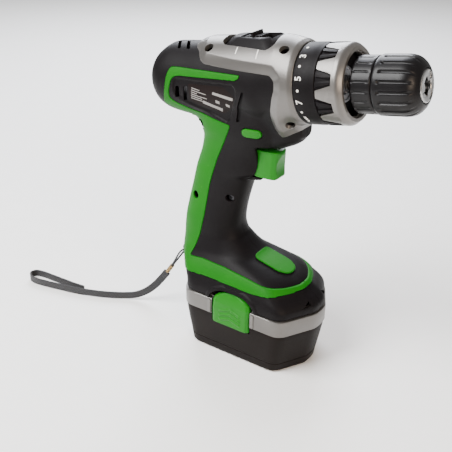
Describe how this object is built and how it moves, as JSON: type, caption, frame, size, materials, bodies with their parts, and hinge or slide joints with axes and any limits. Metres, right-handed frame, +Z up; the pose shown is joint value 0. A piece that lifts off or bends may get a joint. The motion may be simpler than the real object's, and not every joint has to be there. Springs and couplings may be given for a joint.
{
  "type": "cordless drill",
  "caption": "Pistol-grip cordless drill driver with a keyless chuck, torque collar, two-speed slider, trigger, direction button, clip-in battery pack and wrist strap.",
  "frame": {"origin": "centre of the battery pack's underside, on which the drill stands", "axes": "+X forward towards the chuck, +Y to the tool's left, +Z up; the barrel is 9.6 degrees nose-up"},
  "size_m": [0.3503, 0.0892, 0.2653],
  "materials": {
    "black_abs": "fine spark-eroded texture",
    "green_tpe": "soft matte overmould",
    "green_abs": "satin moulded",
    "silver_painted_abs": "metallic silver lacquer on moulded plastic",
    "pack_black_abs": "satin moulded",
    "sleeve_black_nylon": "semi-gloss glass-filled",
    "machined_steel": "turned and ground",
    "zinc_plated_steel": "plated",
    "cast_aluminium": "die-cast",
    "copper_windings": "enamelled copper wire and steel core",
    "brass": "rolled sheet",
    "cell_sleeve": "shrink sleeve",
    "black_webbing": "woven polyester"
  },
  "bodies": {
    "housing": {"right_housing": "black_abs", "left_housing": "black_abs", "right_grip": "green_tpe", "left_grip": "green_tpe", "right_gear_cover": "silver_painted_abs", "left_gear_cover": "silver_painted_abs", "foot_pad": "green_tpe", "speed_bezel": "black_abs", "web_screw": "zinc_plated_steel", "back_screw": "zinc_plated_steel", "handle_screw": "zinc_plated_steel", "cover_rear_screw": "zinc_plated_steel", "cover_front_screw": "zinc_plated_steel", "cover_lower_screw": "zinc_plated_steel", "motor_can": "zinc_plated_steel", "brush_cap": "black_abs", "gear_case": "cast_aluminium", "spindle_bearing": "machined_steel", "clutch_spring": "zinc_plated_steel", "switch_module": "black_abs", "contact_block": "black_abs", "right_contact_blade": "brass", "left_contact_blade": "brass", "trigger_spring": "zinc_plated_steel", "strap_ear": "black_abs", "strap_leader": "black_webbing", "strap_crimp": "brass", "strap_webbing": "black_webbing"},
    "rotor": {"rotor": "copper_windings"},
    "first_stage": {"first_carrier": "machined_steel"},
    "output": {"spindle": "machined_steel", "chuck_body": "machined_steel", "rear_sleeve": "sleeve_black_nylon"},
    "front_sleeve": {"front_sleeve": "sleeve_black_nylon"},
    "torque_collar": {"number_ring": "black_abs", "collar_crown": "silver_painted_abs", "clutch_nut": "black_abs"},
    "speed_slider": {"speed_slider": "black_abs"},
    "trigger": {"trigger": "green_abs"},
    "direction_button": {"direction_button": "green_abs"},
    "battery": {"pack_base": "pack_black_abs", "pack_lid": "silver_painted_abs", "right_cell_row": "cell_sleeve", "middle_cell_row": "cell_sleeve", "left_cell_row": "cell_sleeve", "cross_cell": "cell_sleeve", "tower_cell": "cell_sleeve", "right_latch_spring": "zinc_plated_steel", "left_latch_spring": "zinc_plated_steel"},
    "right_latch": {"right_latch": "green_abs"},
    "left_latch": {"left_latch": "green_abs"},
    "first_planet_1": {"first_planet_1": "machined_steel"},
    "second_planet_1": {"second_planet_1": "machined_steel"},
    "jaw_1": {"jaw_1": "machined_steel"},
    "first_planet_2": {"first_planet_2": "machined_steel"},
    "second_planet_2": {"second_planet_2": "machined_steel"},
    "jaw_2": {"jaw_2": "machined_steel"},
    "first_planet_3": {"first_planet_3": "machined_steel"},
    "second_planet_3": {"second_planet_3": "machined_steel"},
    "jaw_3": {"jaw_3": "machined_steel"}
  },
  "joints": [
    {"name": "chuck_spin", "type": "hinge", "parent": "housing", "child": "output", "pos_m": [0, 0, 0.2254], "axis": [0.986, 0, 0.1668], "continuous": true},
    {"name": "first_stage_spin", "type": "hinge", "parent": "housing", "child": "first_stage", "pos_m": [0, 0, 0.2254], "axis": [0.986, 0, 0.1668], "continuous": true},
    {"name": "rotor_spin", "type": "hinge", "parent": "housing", "child": "rotor", "pos_m": [0, 0, 0.2254], "axis": [0.986, 0, 0.1668], "continuous": true},
    {"name": "first_planet_1_spin", "type": "hinge", "parent": "first_stage", "child": "first_planet_1", "pos_m": [-0.01035, 0.01197, 0.22365], "axis": [0.986, 0, 0.1668], "continuous": true},
    {"name": "second_planet_1_spin", "type": "hinge", "parent": "output", "child": "second_planet_1", "pos_m": [0.00542, 0.01197, 0.22632], "axis": [0.986, 0, 0.1668], "continuous": true},
    {"name": "first_planet_2_spin", "type": "hinge", "parent": "first_stage", "child": "first_planet_2", "pos_m": [-0.01208, -0.00598, 0.23387], "axis": [0.986, 0, 0.1668], "continuous": true},
    {"name": "second_planet_2_spin", "type": "hinge", "parent": "output", "child": "second_planet_2", "pos_m": [0.00369, -0.00598, 0.23654], "axis": [0.986, 0, 0.1668], "continuous": true},
    {"name": "first_planet_3_spin", "type": "hinge", "parent": "first_stage", "child": "first_planet_3", "pos_m": [-0.00862, -0.00598, 0.21343], "axis": [0.986, 0, 0.1668], "continuous": true},
    {"name": "second_planet_3_spin", "type": "hinge", "parent": "output", "child": "second_planet_3", "pos_m": [0.00715, -0.00598, 0.2161], "axis": [0.986, 0, 0.1668], "continuous": true},
    {"name": "sleeve_turn", "type": "hinge", "parent": "output", "child": "front_sleeve", "pos_m": [0, 0, 0.2254], "axis": [0.986, 0, 0.1668], "range_deg": [-1440, 2700]},
    {"name": "jaw_1_slide", "type": "slide", "parent": "output", "child": "jaw_1", "axis": [0.9644, 0.2079, 0.1631], "range_m": [-0.00802, 0.01502]},
    {"name": "jaw_2_slide", "type": "slide", "parent": "output", "child": "jaw_2", "axis": [0.9344, -0.104, 0.3407], "range_m": [-0.00802, 0.01502]},
    {"name": "jaw_3_slide", "type": "slide", "parent": "output", "child": "jaw_3", "axis": [0.9945, -0.104, -0.0144], "range_m": [-0.00802, 0.01502]},
    {"name": "torque_turn", "type": "hinge", "parent": "housing", "child": "torque_collar", "pos_m": [0, 0, 0.2254], "axis": [0.986, 0, 0.1668], "range_deg": [-100, 185]},
    {"name": "speed_slide", "type": "slide", "parent": "housing", "child": "speed_slider", "axis": [0.986, 0, 0.1668], "range_m": [0, 0.009]},
    {"name": "trigger_pull", "type": "slide", "parent": "housing", "child": "trigger", "axis": [-1, 0, 0], "range_m": [0, 0.008], "stiffness_N_per_m": 600, "springref_m": -0.004, "deforming": ["trigger_spring"]},
    {"name": "direction_shift", "type": "slide", "parent": "housing", "child": "direction_button", "axis": [0, 1, 0], "range_m": [-0.0025, 0.0025]},
    {"name": "pack_release", "type": "slide", "parent": "housing", "child": "battery", "axis": [0, 0, -1], "range_m": [0, 0.06]},
    {"name": "right_latch_push", "type": "slide", "parent": "battery", "child": "right_latch", "axis": [0, 1, 0], "range_m": [0, 0.0022], "stiffness_N_per_m": 1500, "springref_m": -0.002, "deforming": ["right_latch_spring"]},
    {"name": "left_latch_push", "type": "slide", "parent": "battery", "child": "left_latch", "axis": [0, -1, 0], "range_m": [0, 0.0022], "stiffness_N_per_m": 1500, "springref_m": -0.002, "deforming": ["left_latch_spring"]}
  ],
  "couplings": [
    {"joint": "first_stage_spin", "follows": "chuck_spin", "ratio": 4.6667},
    {"joint": "rotor_spin", "follows": "chuck_spin", "ratio": 21.778},
    {"joint": "first_planet_1_spin", "follows": "chuck_spin", "ratio": -12.833},
    {"joint": "second_planet_1_spin", "follows": "chuck_spin", "ratio": -2.75},
    {"joint": "first_planet_2_spin", "follows": "chuck_spin", "ratio": -12.833},
    {"joint": "second_planet_2_spin", "follows": "chuck_spin", "ratio": -2.75},
    {"joint": "first_planet_3_spin", "follows": "chuck_spin", "ratio": -12.833},
    {"joint": "second_planet_3_spin", "follows": "chuck_spin", "ratio": -2.75},
    {"joint": "jaw_1_slide", "follows": "sleeve_turn", "m_per_rad": 0.00031831},
    {"joint": "jaw_2_slide", "follows": "sleeve_turn", "m_per_rad": 0.00031831},
    {"joint": "jaw_3_slide", "follows": "sleeve_turn", "m_per_rad": 0.00031831}
  ]
}
